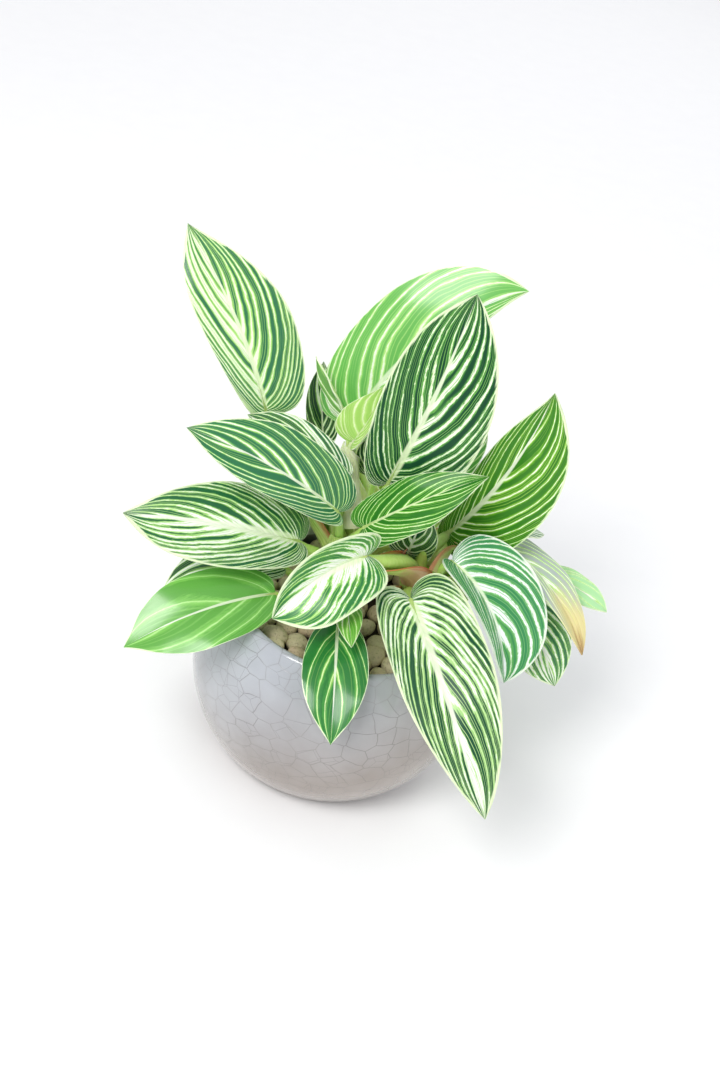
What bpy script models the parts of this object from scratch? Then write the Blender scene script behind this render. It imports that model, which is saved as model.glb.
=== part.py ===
"""A potted philodendron: a round glazed bowl, filled with soil under a layer of pebbles,
with three short stems. Each leaf is one piece with its stalk, which ends at its stem.
Lengths are in millimetres. +Z is up, -Y is the side that faces the viewer, and the
origin is the middle of the bowl's flat foot.
"""

import math
import random
from dataclasses import dataclass

import bmesh
import bpy
import numpy as np
from mathutils import Vector

MM = 0.001
CLEARANCE = 0.3

# Bowl
BOWL_RADIUS = 49.5
BOWL_MIDDLE = 36.0
WALL = 4.0
FLOOR = 5.0
FOOT_RADIUS = 32.5
FOOT_ROUND = 1.0
LIP_TOP = 65.0
LIP_RADIUS = 1.8
LIP_MIDDLE_RADIUS = 39.6
INNER_TOP = 62.0
BOWL_STEPS = 32

# Filling
SOIL_TOP = 52.0
BED_TOP = 57.4
PEBBLE_COUNT = 38
PEBBLE_REACH = 33.0
PEBBLE_HEIGHT = 57.0
PEBBLE_SIZE = (5.1, 4.2, 3.4)
GOLDEN_ANGLE = math.radians(137.508)

# Stems
STEM_RADIUS = 4.0
STEM_BOTTOM = 30.0
STEM_SHOULDER = 64.0
STEM_STEPS = 12
STEMS = {
    "stem_left": (-6, 6, 93),
    "stem_right": (20, 4, 91),
    "stem_back": (2, 22, 92),
}

# Leaves
BLADE_THICKNESS = 0.8
BLADE_RIPPLE = 0.4
RIPPLE_TURNS = 2.3
VEIN_START_POWER = 1.9
VEIN_BEND = (0.32, 0.56)
STALK_BELOW_BLADE = 0.6
RIB_SHARE = 0.4
RIB_RADII = (0.8, 0.45)
RIB_BELOW_BLADE = 0.5

# Colours, as linear values
POT_GLAZE = (0.49, 0.45, 0.44)
SOIL_BROWN = (0.045, 0.03, 0.02)
PEBBLE_OLIVE = (0.33, 0.34, 0.2)
STEM_TAN = (0.32, 0.2, 0.06)
LEAF_GREEN = (0.09, 0.28, 0.07)
LEAF_PALE = (0.5, 0.66, 0.36)
LEAF_DARK = (0.04, 0.15, 0.05)


@dataclass
class Half:
    """One side of a blade: its width, and where along the midrib it is widest. Shoulder is how
    round it starts, full how blunt it ends, fold and curl how it bends up, in degrees."""

    width: float
    widest: float = 0.38
    shoulder: float = 0.4
    full: float = 0.42
    fold: float = 12.0
    curl: float = -18.0


@dataclass
class Leaf:
    """A leaf by the two ends of its midrib, the way the midrib bows and the way it faces.
    Its stalk leaves the stem at the height root, at an angle lean above the level, and stalk
    holds its radii from the stem to the blade."""

    name: str
    stem: str
    root: float
    base: tuple
    tip: tuple
    bow: tuple
    facing: tuple
    left: Half
    right: Half
    lobe: float = 0.05
    tip_facing: tuple = None
    lean: float = 60.0
    stalk: tuple = (1.9, 1.2)
    colour: tuple = LEAF_GREEN
    rows: int = 11
    columns: int = 6


LEAVES = [
    Leaf("leaf_tall_left", "stem_left", 75, (-41, 12, 120), (-78, 32, 168), (6, -5, 4),
         (0.32, -0.72, 0.62), Half(11.2, 0.55, 0.2, 0.55), Half(17.3, 0.38, 0.4, 0.22),
         lobe=0.03, tip_facing=(-0.12, -0.76, 0.64)),
    Leaf("leaf_left_inner", "stem_left", 80.5, (-13, 4, 106), (-46, 6, 121), (1, -1, 4),
         (0, -0.75, 0.66), Half(8.5, 0.45, 0.5), Half(8.5, 0.45, 0.5),
         colour=LEAF_PALE, rows=9, columns=4),
    Leaf("leaf_left_upper", "stem_left", 74.5, (-11, -4, 100), (-62, -10, 121), (2, -4, 8),
         (-0.08, -0.58, 0.81), Half(9.3, 0.5, 0.25, 0.5), Half(14.7, 0.38, 0.4, 0.38),
         lobe=0.07, lean=50, colour=LEAF_DARK),
    Leaf("leaf_left_middle", "stem_left", 69.5, (-21, -6, 86), (-76, -22, 92), (3, -5, 7),
         (-0.08, -0.58, 0.81), Half(14.2, 0.48, 0.25, 0.6), Half(15, 0.38, 0.42, 0.33),
         lobe=0.06, stalk=(1.8, 1.9, 1.9, 1.2), colour=LEAF_PALE),
    Leaf("leaf_left_low_green", "stem_left", 63.5, (-24, -18, 72), (-66, -43, 56), (0, -1, 9),
         (-0.16, -0.62, 0.77), Half(13, 0.48, 0.25, 0.38), Half(13, 0.48, 0.25, 0.38),
         lobe=0, lean=15),
    Leaf("leaf_left_low_dark", "stem_left", 67.5, (-23, -5, 73), (-62, -10, 53), (0, 0, 13),
         (-0.11, -0.47, 0.88), Half(6.5, 0.38, 0.3), Half(12, 0.38, 0.3),
         lobe=0, lean=25, colour=LEAF_DARK, columns=4),
    Leaf("leaf_front_pale", "stem_right", 77, (1, -20, 97), (-22, -40, 80), (-1, -1, 8),
         (0.05, -0.66, 0.75), Half(15, 0.45, 0.5, 0.8), Half(10.8, 0.42, 0.5, 0.42, 60, -10),
         lobe=0.14, stalk=(1.9, 2.7, 2.4, 1.4), colour=LEAF_PALE),
    Leaf("leaf_front_bud", "stem_left", 69, (-1, -24, 81), (4, -42, 78), (0, -2, 2),
         (0.1, -0.79, 0.6), Half(4.5, 0.35), Half(4.5, 0.35), rows=7, columns=4),
    Leaf("leaf_front_hanging", "stem_left", 64, (-2, -26, 73), (5, -60, 53), (0, -5, 6),
         (0, -0.81, 0.59), Half(10.5, 0.45, 0.25, 0.35), Half(10.5, 0.45, 0.25, 0.35),
         lobe=0, colour=LEAF_DARK),
    Leaf("leaf_front_long", "stem_right", 66, (19, -21, 85), (56, -71, 49), (-1, -9, 11),
         (0.07, -0.73, 0.68), Half(17.5, 0.33, 0.5, 0.5), Half(13.2, 0.33, 0.5, 0.38),
         lobe=0.1, stalk=(1.9, 2.3, 2.2, 1.4), colour=LEAF_PALE),
    Leaf("leaf_right_front", "stem_right", 66, (30, -1, 89), (56, -17, 58), (7, -2, 10),
         (0.17, -0.71, 0.69), Half(19.2, 0.38, 0.3, 0.7), Half(12.5, 0.38, 0.3, 0.5, 60, -10),
         lobe=0.06, lean=35),
    Leaf("leaf_right_upper", "stem_right", 82, (27, 17, 88), (46, 12, 152), (6, -5, 0),
         (-0.1, -0.82, 0.57), Half(9, 0.5, 0.15, 0.3), Half(19.1, 0.42, 0.35, 0.55),
         lobe=0.06, stalk=(1.9, 2.1, 2.1, 1.3)),
    Leaf("leaf_middle_green", "stem_left", 80, (-1, -6, 98), (33, 0, 124), (0, -3, 5),
         (0, -0.59, 0.8), Half(9, 0.38, 0.45, 0.3), Half(9.5, 0.38, 0.45, 0.3), lobe=0.08),
    Leaf("leaf_tall_middle", "stem_back", 79, (3, 8, 108), (15, 18, 175), (3, -7, 4),
         (0.12, -0.84, 0.52), Half(15.8, 0.48, 0.25, 0.65), Half(20.6, 0.36, 0.3, 0.55),
         colour=LEAF_DARK),
    Leaf("leaf_tall_back", "stem_back", 76, (-13, 30, 112.5), (32, 46, 167), (-11, -1, 12),
         (-0.21, -0.76, 0.61), Half(20.4, 0.44, 0.42, 0.7), Half(17, 0.38, 0.35, 0.2, 45),
         lobe=0.04, stalk=(1.7, 1.9, 2.0, 1.3)),
    Leaf("leaf_back_small", "stem_back", 70.5, (-22, 34, 101), (-28, 44, 125), (-1, -3, 2),
         (0, -0.81, 0.59), Half(5.5, 0.42, 0.5), Half(5.5, 0.42, 0.5),
         colour=LEAF_DARK, rows=8, columns=4),
    Leaf("leaf_back_sliver", "stem_back", 84, (-16, 26, 116.5), (-30, 30, 134), (-1, 0, 2),
         (-0.76, -0.5, 0.42), Half(3.4, 0.42, 0.3, 0.42, 45), Half(3, 0.42, 0.3, 0.42, 45),
         colour=LEAF_PALE, rows=7, columns=4),
    Leaf("leaf_new", "stem_left", 88, (-11, 14, 116), (-6, 20, 135), (2, -2, 0),
         (-0.17, -0.87, 0.46), Half(9.4, 0.28, 0.5, 0.3, 10), Half(4.4, 0.3, 0.5, 0.3, 65),
         lobe=0.1, stalk=(1.7, 2.5, 2.8, 1.6), colour=LEAF_PALE, rows=8, columns=4),
    Leaf("leaf_inner_dark", "stem_back", 67, (-2, 15, 104), (-2, 15, 124), (0, -5, 4),
         (-0.19, -0.82, 0.54), Half(7.5, 0.4, 0.5), Half(7.5, 0.4, 0.5),
         colour=LEAF_DARK, rows=8, columns=4),
    Leaf("leaf_inner_small", "stem_right", 72, (15, 5, 84), (17, 5, 103), (0, -4, 3),
         (0, -0.81, 0.59), Half(8, 0.4, 0.5), Half(8, 0.4, 0.5),
         colour=LEAF_DARK, rows=8, columns=4),
    Leaf("leaf_right_yellowing", "stem_right", 74, (45, 16, 89), (80, -4, 67), (4, 2, 9),
         (0.39, -0.4, 0.83), Half(7.5, 0.42, 0.4, 0.5, 30), Half(7.5, 0.42, 0.4, 0.5, 30),
         lobe=0.04, lean=12, rows=10, columns=4),
    Leaf("leaf_right_small", "stem_right", 70, (64, 26, 75), (86, 12, 75), (0, -1, 4),
         (0.09, -0.5, 0.86), Half(5.5, 0.42, 0.4, 0.6), Half(5.5, 0.42, 0.4, 0.6),
         lobe=0.04, lean=12, rows=8, columns=4),
    Leaf("leaf_right_low", "stem_right", 64, (51, 14, 72), (75, -4, 51), (2, -2, 7),
         (0.23, -0.61, 0.76), Half(12, 0.5, 0.4, 0.5), Half(12, 0.5, 0.4, 0.5),
         lobe=0.04, lean=25, colour=LEAF_DARK, rows=9, columns=4),
    Leaf("leaf_rear_left", "stem_back", 67, (-22, 30, 74), (-50, 54, 52), (0, 0, 8),
         (-0.29, 0.1, 0.95), Half(13), Half(13), colour=LEAF_DARK, rows=10, columns=4),
    Leaf("leaf_rear_middle", "stem_back", 70, (6, 46, 84), (4, 94, 72), (0, 0, 12),
         (0, 0.29, 0.96), Half(14), Half(14)),
    Leaf("leaf_rear_right", "stem_back", 70, (36, 32, 82), (62, 62, 66), (0, 0, 10),
         (0.19, 0.19, 0.96), Half(13), Half(13), colour=LEAF_PALE, rows=10, columns=4),
    Leaf("leaf_rear_upper_left", "stem_back", 82, (4, 40, 98), (-4, 66, 114), (0, 3, 4),
         (0, 0.6, 0.8), Half(9), Half(9), lean=35, colour=LEAF_DARK, rows=9, columns=4),
    Leaf("leaf_rear_upper_right", "stem_back", 74.5, (19, 37, 94), (32, 62, 106), (0, 2, 5),
         (0.2, 0.5, 0.84), Half(10), Half(10), rows=9, columns=4),
    Leaf("leaf_rear_low_right", "stem_back", 65, (24, 40, 76), (40, 82, 50), (0, 0, 12),
         (0.19, 0.28, 0.94), Half(13), Half(13), colour=LEAF_DARK, rows=10, columns=4),
    Leaf("leaf_rear_low_left", "stem_back", 64, (-8, 44, 76), (-18, 86, 50), (0, 0, 12),
         (-0.1, 0.29, 0.95), Half(13), Half(13), rows=10, columns=4),
]


def clear_scene():
    for obj in list(bpy.data.objects):
        bpy.data.objects.remove(obj)


def new_collection(name):
    collection = bpy.data.collections.new(name)
    bpy.context.scene.collection.children.link(collection)
    return collection


def material(name, colour, roughness):
    made = bpy.data.materials.get(name) or bpy.data.materials.new(name)
    made.use_nodes = True
    shader = made.node_tree.nodes["Principled BSDF"]
    shader.inputs["Base Color"].default_value = (*colour, 1.0)
    shader.inputs["Roughness"].default_value = roughness
    return made


def new_object(name, mesh, collection):
    obj = bpy.data.objects.new(name, mesh)
    collection.objects.link(obj)
    return obj


def evaluated_mesh(obj):
    graph = bpy.context.evaluated_depsgraph_get()
    return bpy.data.meshes.new_from_object(obj.evaluated_get(graph))


def apply_modifiers(obj):
    """Replaces the object's mesh by what its modifiers make of it."""
    mesh = evaluated_mesh(obj)
    obj.modifiers.clear()
    obj.data = mesh


def boolean(obj, operation, other=None, collection=None, solver="MANIFOLD"):
    """Joins or cuts the object with another one or a collection, applies it and removes them."""
    modifier = obj.modifiers.new(operation.title(), "BOOLEAN")
    modifier.operation = operation
    modifier.solver = solver
    if collection:
        modifier.operand_type = "COLLECTION"
        modifier.collection = collection
        used = list(collection.objects)
    else:
        modifier.object = other
        used = [other]
    apply_modifiers(obj)
    for each in used:
        bpy.data.objects.remove(each)


def turned(name, profile, steps, collection):
    """A solid of revolution. The profile runs from the axis back to the axis, down its outer side."""
    mesh = bpy.data.meshes.new(name)
    points = [(radius * MM, 0.0, height * MM) for radius, height in profile]
    mesh.from_pydata(points, [(i, i + 1) for i in range(len(points) - 1)], [])
    obj = new_object(name, mesh, collection)
    screw = obj.modifiers.new("Screw", "SCREW")
    screw.axis = "Z"
    screw.steps = steps
    screw.render_steps = steps
    screw.use_merge_vertices = True
    screw.merge_threshold = 0.00001
    screw.use_smooth_shade = True
    return obj


def round_arc(radius, low, high, count):
    """Points (radius, height) up a circle round the bowl's middle, between two heights."""
    first = math.asin((low - BOWL_MIDDLE) / radius)
    last = math.asin((high - BOWL_MIDDLE) / radius)
    angles = np.linspace(first, last, count)
    return [(radius * math.cos(a), BOWL_MIDDLE + radius * math.sin(a)) for a in angles]


def bowl_profile():
    inner_radius = BOWL_RADIUS - WALL
    lip_height = LIP_TOP - LIP_RADIUS
    lip = [
        (LIP_MIDDLE_RADIUS - LIP_RADIUS * math.cos(a), lip_height + LIP_RADIUS * math.sin(a))
        for a in np.linspace(0, math.pi, 6)
    ]
    inner = round_arc(inner_radius, FLOOR, INNER_TOP, 9)
    outer = round_arc(BOWL_RADIUS, FOOT_ROUND, lip_height - 0.6, 11)
    return [(0, FLOOR), *inner, *lip, *reversed(outer), (FOOT_RADIUS, 0), (0, 0)]


def make_bowl(collection):
    pot = turned("pot", bowl_profile(), BOWL_STEPS, collection)
    apply_modifiers(pot)
    pot.data.materials.append(material("Crackle glaze", POT_GLAZE, 0.25))
    return pot


def stem_profile(top, grow=0.0):
    """A straight foot in the soil, then a taper to the pointed growing tip."""
    radius = STEM_RADIUS + grow
    return [
        (0, top + grow),
        (0.32 * STEM_RADIUS + grow, top - 3),
        (0.66 * STEM_RADIUS + grow, top - 12),
        (radius, STEM_SHOULDER),
        (radius, STEM_BOTTOM - grow),
        (0, STEM_BOTTOM - grow),
    ]


def make_stem(name, collection, grow=0.0):
    x, y, top = STEMS[name]
    stem = turned(name, stem_profile(top, grow), STEM_STEPS, collection)
    stem.location = (x * MM, y * MM, 0)
    bpy.context.view_layer.update()
    return stem


def stem_cutters(collection):
    for name in STEMS:
        cutter = make_stem(name, collection, CLEARANCE)
        cutter.name = name + "_cutter"
        apply_modifiers(cutter)


def make_soil(collection, cutters):
    inner_radius = BOWL_RADIUS - WALL - CLEARANCE
    wall = round_arc(inner_radius, FLOOR + CLEARANCE, SOIL_TOP, 7)
    profile = [(0, SOIL_TOP), *reversed(wall), (0, FLOOR + CLEARANCE)]
    soil = turned("soil", profile, BOWL_STEPS, collection)
    apply_modifiers(soil)
    stem_cutters(cutters)
    boolean(soil, "DIFFERENCE", collection=cutters)
    soil.data.materials.append(material("Soil", SOIL_BROWN, 0.95))
    return soil


def add_pebble(index, draw, collection):
    """One rounded pebble at the next place of a spiral that fills a disc evenly."""
    reach = PEBBLE_REACH * math.sqrt((index + 0.5) / PEBBLE_COUNT)
    angle = index * GOLDEN_ANGLE
    mesh = bpy.data.meshes.new("pebble")
    shape = bmesh.new()
    bmesh.ops.create_uvsphere(shape, u_segments=8, v_segments=6, radius=1.0)
    size = [half * draw.uniform(0.88, 1.12) * MM for half in PEBBLE_SIZE]
    for vertex in shape.verts:
        vertex.co = Vector([axis * half for axis, half in zip(vertex.co, size)])
    shape.to_mesh(mesh)
    shape.free()
    pebble = new_object("pebble", mesh, collection)
    pebble.location = (
        (reach * math.cos(angle) + draw.uniform(-0.8, 0.8)) * MM,
        (reach * math.sin(angle) + draw.uniform(-0.8, 0.8)) * MM,
        (PEBBLE_HEIGHT + draw.uniform(-0.5, 0.3)) * MM,
    )
    pebble.rotation_euler = (
        draw.uniform(-0.15, 0.15),
        draw.uniform(-0.15, 0.15),
        draw.uniform(0, math.pi),
    )


def make_pebbles(collection, cutters):
    """A thin bed that fills the bowl's mouth, with the pebbles fused to it as one piece."""
    low = SOIL_TOP + CLEARANCE
    inner_radius = BOWL_RADIUS - WALL - CLEARANCE - 0.2
    edge = round_arc(inner_radius, low, BED_TOP, 3)
    profile = [(0, BED_TOP), *reversed(edge), (0, low)]
    pebbles = turned("pebbles", profile, BOWL_STEPS, collection)
    apply_modifiers(pebbles)
    draw = random.Random(7)
    for index in range(PEBBLE_COUNT):
        add_pebble(index, draw, cutters)
    bpy.context.view_layer.update()
    boolean(pebbles, "UNION", collection=cutters)
    stem_cutters(cutters)
    boolean(pebbles, "DIFFERENCE", collection=cutters)
    pebbles.data.materials.append(material("Pebble", PEBBLE_OLIVE, 0.7))
    return pebbles


def bezier(points, t):
    """A point, or an array of them, on the Bezier curve through its control points."""
    t = np.asarray(t, float)[..., None]
    points = [np.asarray(point, float) for point in points]
    while len(points) > 1:
        points = [(1 - t) * a + t * b for a, b in zip(points, points[1:])]
    return points[0]


def unit(vector):
    vector = np.asarray(vector, float)
    return vector / np.linalg.norm(vector, axis=-1, keepdims=True)


def half_outline(half, lobe):
    """The edge of one side from base to tip, in shares of the length and of the width."""
    rise = min(0.95, half.shoulder + 0.42)
    base = [(0, 0), (-0.5 * lobe, 0.02), (-lobe, 0.4 * half.shoulder), (-lobe, half.shoulder)]
    side = [(-lobe, half.shoulder), (-lobe, rise), (half.widest - 0.24, 1), (half.widest, 1)]
    end = [(half.widest, 1), (half.widest + 0.26, 1), (0.88, half.full), (1, 0)]
    parts = [bezier(base, np.linspace(0, 1, 16))[:-1], bezier(side, np.linspace(0, 1, 24))[:-1]]
    return np.concatenate([*parts, bezier(end, np.linspace(0, 1, 32))])


class Blade:
    """The curved surface of a leaf. A vein runs from the midrib to the edge at each share s
    of the edge's length, and t goes from -1 at the left edge over the midrib to 1."""

    def __init__(self, leaf, index):
        self.leaf = leaf
        self.index = index
        base, tip = np.array(leaf.base, float), np.array(leaf.tip, float)
        control = (base + tip) / 2 + np.array(leaf.bow, float)
        share = np.linspace(0, 1, 81)
        self.points = bezier([base, control, tip], share)
        steps = np.linalg.norm(np.diff(self.points, axis=0), axis=1)
        self.along = np.concatenate([[0], np.cumsum(steps)])
        self.length = self.along[-1]
        self.tangents = unit(bezier([control - base, tip - control], share))
        end_facing = leaf.tip_facing or leaf.facing
        facing = bezier([unit(leaf.facing), unit(end_facing)], share)
        across = (facing * self.tangents).sum(1, keepdims=True)
        self.normals = unit(facing - across * self.tangents)

    def frame(self, distance):
        """Midrib point, direction, side and normal at a distance from the base."""
        inside = np.clip(distance, 0, self.length)
        found = []
        for values in (self.points, self.tangents, self.normals):
            columns = [np.interp(inside, self.along, values[:, k]) for k in range(3)]
            found.append(np.stack(columns, -1))
        point, tangent, normal = found[0], unit(found[1]), unit(found[2])
        point = point + tangent * (distance - inside)[..., None]
        return point, tangent, np.cross(tangent, normal), normal

    def flat(self, half, s, t):
        """Distance along and away from the midrib of a place on one side's vein."""
        edge = half_outline(half, self.leaf.lobe) * (self.length, half.width)
        steps = np.linalg.norm(np.diff(edge, axis=0), axis=1)
        share = np.concatenate([[0], np.cumsum(steps)]) / steps.sum()
        out = np.stack([np.interp(s, share, edge[:, k]) for k in range(2)], -1)
        start = np.stack([self.length * s**VEIN_START_POWER, np.zeros_like(s)], -1)
        bend = start + (out - start) * VEIN_BEND
        t = t[..., None]
        return (1 - t) ** 2 * start + 2 * (1 - t) * t * bend + t**2 * out

    def side_points(self, half, sign, s, t):
        place = self.flat(half, s, t)
        distance, away = place[..., 0], place[..., 1]
        share = away / half.width
        fold, curl = math.radians(half.fold), math.radians(half.curl)
        out = (np.sin(fold + curl * share) - math.sin(fold)) / curl * half.width
        up = (math.cos(fold) - np.cos(fold + curl * share)) / curl * half.width
        turns = RIPPLE_TURNS * distance / self.length + 0.37 * self.index + 0.2 * sign
        up = up + BLADE_RIPPLE * np.sin(2 * math.pi * turns) * share**2
        point, _, side, normal = self.frame(distance)
        return point + side * (sign * out)[..., None] + normal * up[..., None]

    def surface(self, s, t):
        left = self.side_points(self.leaf.left, -1, s, np.abs(t))
        right = self.side_points(self.leaf.right, 1, s, np.abs(t))
        return np.where((t > 0)[..., None], right, left)


def blade_mesh(blade, collection):
    """A grid laid along the veins, closed to a point at both ends and thickened."""
    leaf = blade.leaf
    shape = bmesh.new()
    bmesh.ops.create_grid(shape, x_segments=leaf.rows, y_segments=leaf.columns, size=0.5)
    places = np.array([vertex.co[:2] for vertex in shape.verts])
    points = blade.surface(places[:, 0] + 0.5, 2 * places[:, 1])
    for vertex, point in zip(shape.verts, points):
        vertex.co = Vector(point * MM)
    bmesh.ops.remove_doubles(shape, verts=shape.verts, dist=0.00001)
    bmesh.ops.triangulate(shape, faces=shape.faces)
    mesh = bpy.data.meshes.new(leaf.name)
    shape.to_mesh(mesh)
    shape.free()
    obj = new_object(leaf.name, mesh, collection)
    solidify = obj.modifiers.new("Solidify", "SOLIDIFY")
    solidify.thickness = BLADE_THICKNESS * MM
    solidify.offset = 0.0
    apply_modifiers(obj)
    return obj


def stalk_path(blade):
    """Points and radii from the stem's middle up to the blade and on under its midrib."""
    leaf = blade.leaf
    x, y, _ = STEMS[leaf.stem]
    root = np.array([x, y, leaf.root], float)
    point, tangent, _, normal = blade.frame(np.array([0.0]))
    end = point[0] - normal[0] * STALK_BELOW_BLADE
    outward = (end - root) * (1, 1, 0)
    lean = math.radians(leaf.lean)
    start = unit(outward) * math.cos(lean) + np.array([0, 0, math.sin(lean)])
    arrive = unit(tangent[0] + np.array([0, 0, 0.8]))
    reach = np.linalg.norm(end - root)
    controls = [root, root + start * 0.4 * reach, end - arrive * 0.3 * reach, end]
    free = bezier(controls, np.linspace(0, 1, 8))
    along = np.linspace(0, RIB_SHARE * blade.length, 3)[1:]
    point, _, _, normal = blade.frame(along)
    slim = min(1.0, 0.5 + blade.length / 80)
    places = np.linspace(0, 1, len(leaf.stalk))
    free_radii = np.interp(np.linspace(0, 1, len(free)), places, leaf.stalk) * slim
    rib = point - normal * RIB_BELOW_BLADE
    rib_radii = np.linspace(*RIB_RADII, len(rib)) * slim
    return np.concatenate([free, rib]), np.concatenate([free_radii, rib_radii])


def stalk_mesh(blade, collection):
    """The stalk as a tapered tube, made a mesh so that it can be joined and cut."""
    points, radii = stalk_path(blade)
    curve = bpy.data.curves.new("stalk", "CURVE")
    curve.dimensions = "3D"
    curve.bevel_depth = MM
    curve.bevel_resolution = 1
    curve.use_fill_caps = True
    spline = curve.splines.new("POLY")
    spline.points.add(len(points) - 1)
    for target, point, radius in zip(spline.points, points, radii):
        target.co = (*(point * MM), 1.0)
        target.radius = radius
    tube = new_object("stalk", curve, collection)
    bpy.context.view_layer.update()
    mesh = evaluated_mesh(tube)
    shape = bmesh.new()
    shape.from_mesh(mesh)
    bmesh.ops.remove_doubles(shape, verts=shape.verts, dist=0.00001)
    shape.to_mesh(mesh)
    shape.free()
    solid = new_object("stalk", mesh, collection)
    solid.matrix_world = tube.matrix_world
    bpy.data.objects.remove(tube)
    return solid


def make_leaf(leaf, index, collection, cutters):
    blade = Blade(leaf, index)
    obj = blade_mesh(blade, collection)
    boolean(obj, "UNION", stalk_mesh(blade, cutters))
    cutter = make_stem(leaf.stem, cutters, CLEARANCE)
    apply_modifiers(cutter)
    boolean(obj, "DIFFERENCE", cutter)
    obj.data.materials.append(material(f"Leaf {leaf.colour}", leaf.colour, 0.35))
    return obj


def main():
    clear_scene()
    parts = new_collection("Potted philodendron")
    cutters = new_collection("Cutters")
    make_bowl(parts)
    make_soil(parts, cutters)
    make_pebbles(parts, cutters)
    for name in STEMS:
        stem = make_stem(name, parts)
        apply_modifiers(stem)
        stem.data.materials.append(material("Stem", STEM_TAN, 0.5))
    for index, leaf in enumerate(LEAVES):
        make_leaf(leaf, index, parts, cutters)


main()
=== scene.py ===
import itertools
import math
import random
from dataclasses import dataclass

import bpy
import numpy as np
from mathutils import Matrix, Vector


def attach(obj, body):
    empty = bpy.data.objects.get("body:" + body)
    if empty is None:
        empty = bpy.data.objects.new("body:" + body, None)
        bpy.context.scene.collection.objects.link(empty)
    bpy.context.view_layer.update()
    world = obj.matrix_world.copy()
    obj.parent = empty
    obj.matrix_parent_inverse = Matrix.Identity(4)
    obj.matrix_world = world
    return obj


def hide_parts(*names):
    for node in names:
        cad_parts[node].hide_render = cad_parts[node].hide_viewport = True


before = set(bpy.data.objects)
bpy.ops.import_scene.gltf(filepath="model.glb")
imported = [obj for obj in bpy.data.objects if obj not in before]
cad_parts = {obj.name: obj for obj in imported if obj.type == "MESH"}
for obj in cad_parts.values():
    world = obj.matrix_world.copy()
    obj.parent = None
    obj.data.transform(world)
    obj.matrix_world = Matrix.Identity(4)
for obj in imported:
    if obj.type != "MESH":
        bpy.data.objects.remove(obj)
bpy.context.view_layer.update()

MM = 0.001


# The view and the light. The camera looks down at the plant from 36 degrees above the level and
# leans by 14 degrees. A soft light stands high on the left, with weaker ones on the right and
# behind, in a bright room.
CAMERA_PLACE = Vector((-1.50, -379.71, 364.02)) * MM
CAMERA_RISE = math.radians(36)
CAMERA_LEAN = math.radians(14)
CAMERA_LENS = 47.62
LIGHT_AIM = Vector((0, 0, 0.09))

rise = Vector((0, math.sin(CAMERA_RISE), math.cos(CAMERA_RISE)))
back = Vector((0, -math.cos(CAMERA_RISE), math.sin(CAMERA_RISE)))
right = Vector((math.cos(CAMERA_LEAN), 0, 0)) + math.sin(CAMERA_LEAN) * rise
up = Vector((-math.sin(CAMERA_LEAN), 0, 0)) + math.cos(CAMERA_LEAN) * rise
camera = bpy.data.objects.new("Camera", bpy.data.cameras.new("Camera"))
camera.data.lens = CAMERA_LENS
camera.data.sensor_width = 36
camera.data.clip_start = 0.01
axes = Matrix((right, up, back)).transposed().to_4x4()
camera.matrix_world = Matrix.Translation(CAMERA_PLACE) @ axes
bpy.context.scene.collection.objects.link(camera)
bpy.context.scene.camera = camera
bpy.context.scene.view_settings.view_transform = "Standard"


def soft_light(name, place, size, watts, colour):
    """A square light panel that points at the middle of the plant."""
    bpy.ops.object.light_add(type="AREA", location=place)
    panel = bpy.context.object
    panel.name = name
    panel.data.size = size
    panel.data.energy = watts
    panel.data.color = colour
    panel.rotation_euler = (LIGHT_AIM - Vector(place)).to_track_quat("-Z", "Y").to_euler()


soft_light("Window side", (-0.45, -0.75, 1.05), 0.52, 10.0, (1.0, 0.99, 0.97))
soft_light("Room side", (0.95, -0.75, 0.7), 1.2, 2.5, (0.96, 0.98, 1.0))
soft_light("Behind", (0.2, 1.1, 0.9), 1.0, 2.5, (1.0, 1.0, 1.0))
room = bpy.data.worlds.new("Room")
bpy.context.scene.world = room
room.use_nodes = True
background = room.node_tree.nodes["Background"]
background.inputs["Color"].default_value = (0.97, 0.98, 1.0, 1.0)
background.inputs["Strength"].default_value = 0.7


class Wire:
    """One output of a material's nodes. Sums on it add Math nodes."""

    def __init__(self, finish, socket):
        self.finish = finish
        self.socket = socket

    def other(self, name):
        """Another output of the same node."""
        return Wire(self.finish, self.socket.node.outputs[name])

    def __add__(self, value):
        return self.finish.sum("ADD", self, value)

    __radd__ = __add__

    def __sub__(self, value):
        return self.finish.sum("SUBTRACT", self, value)

    def __rsub__(self, value):
        return self.finish.sum("SUBTRACT", value, self)

    def __mul__(self, value):
        return self.finish.sum("MULTIPLY", self, value)

    __rmul__ = __mul__

    def __gt__(self, value):
        return self.finish.sum("GREATER_THAN", self, value)

    def __abs__(self):
        return self.finish.sum("ABSOLUTE", self)


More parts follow.
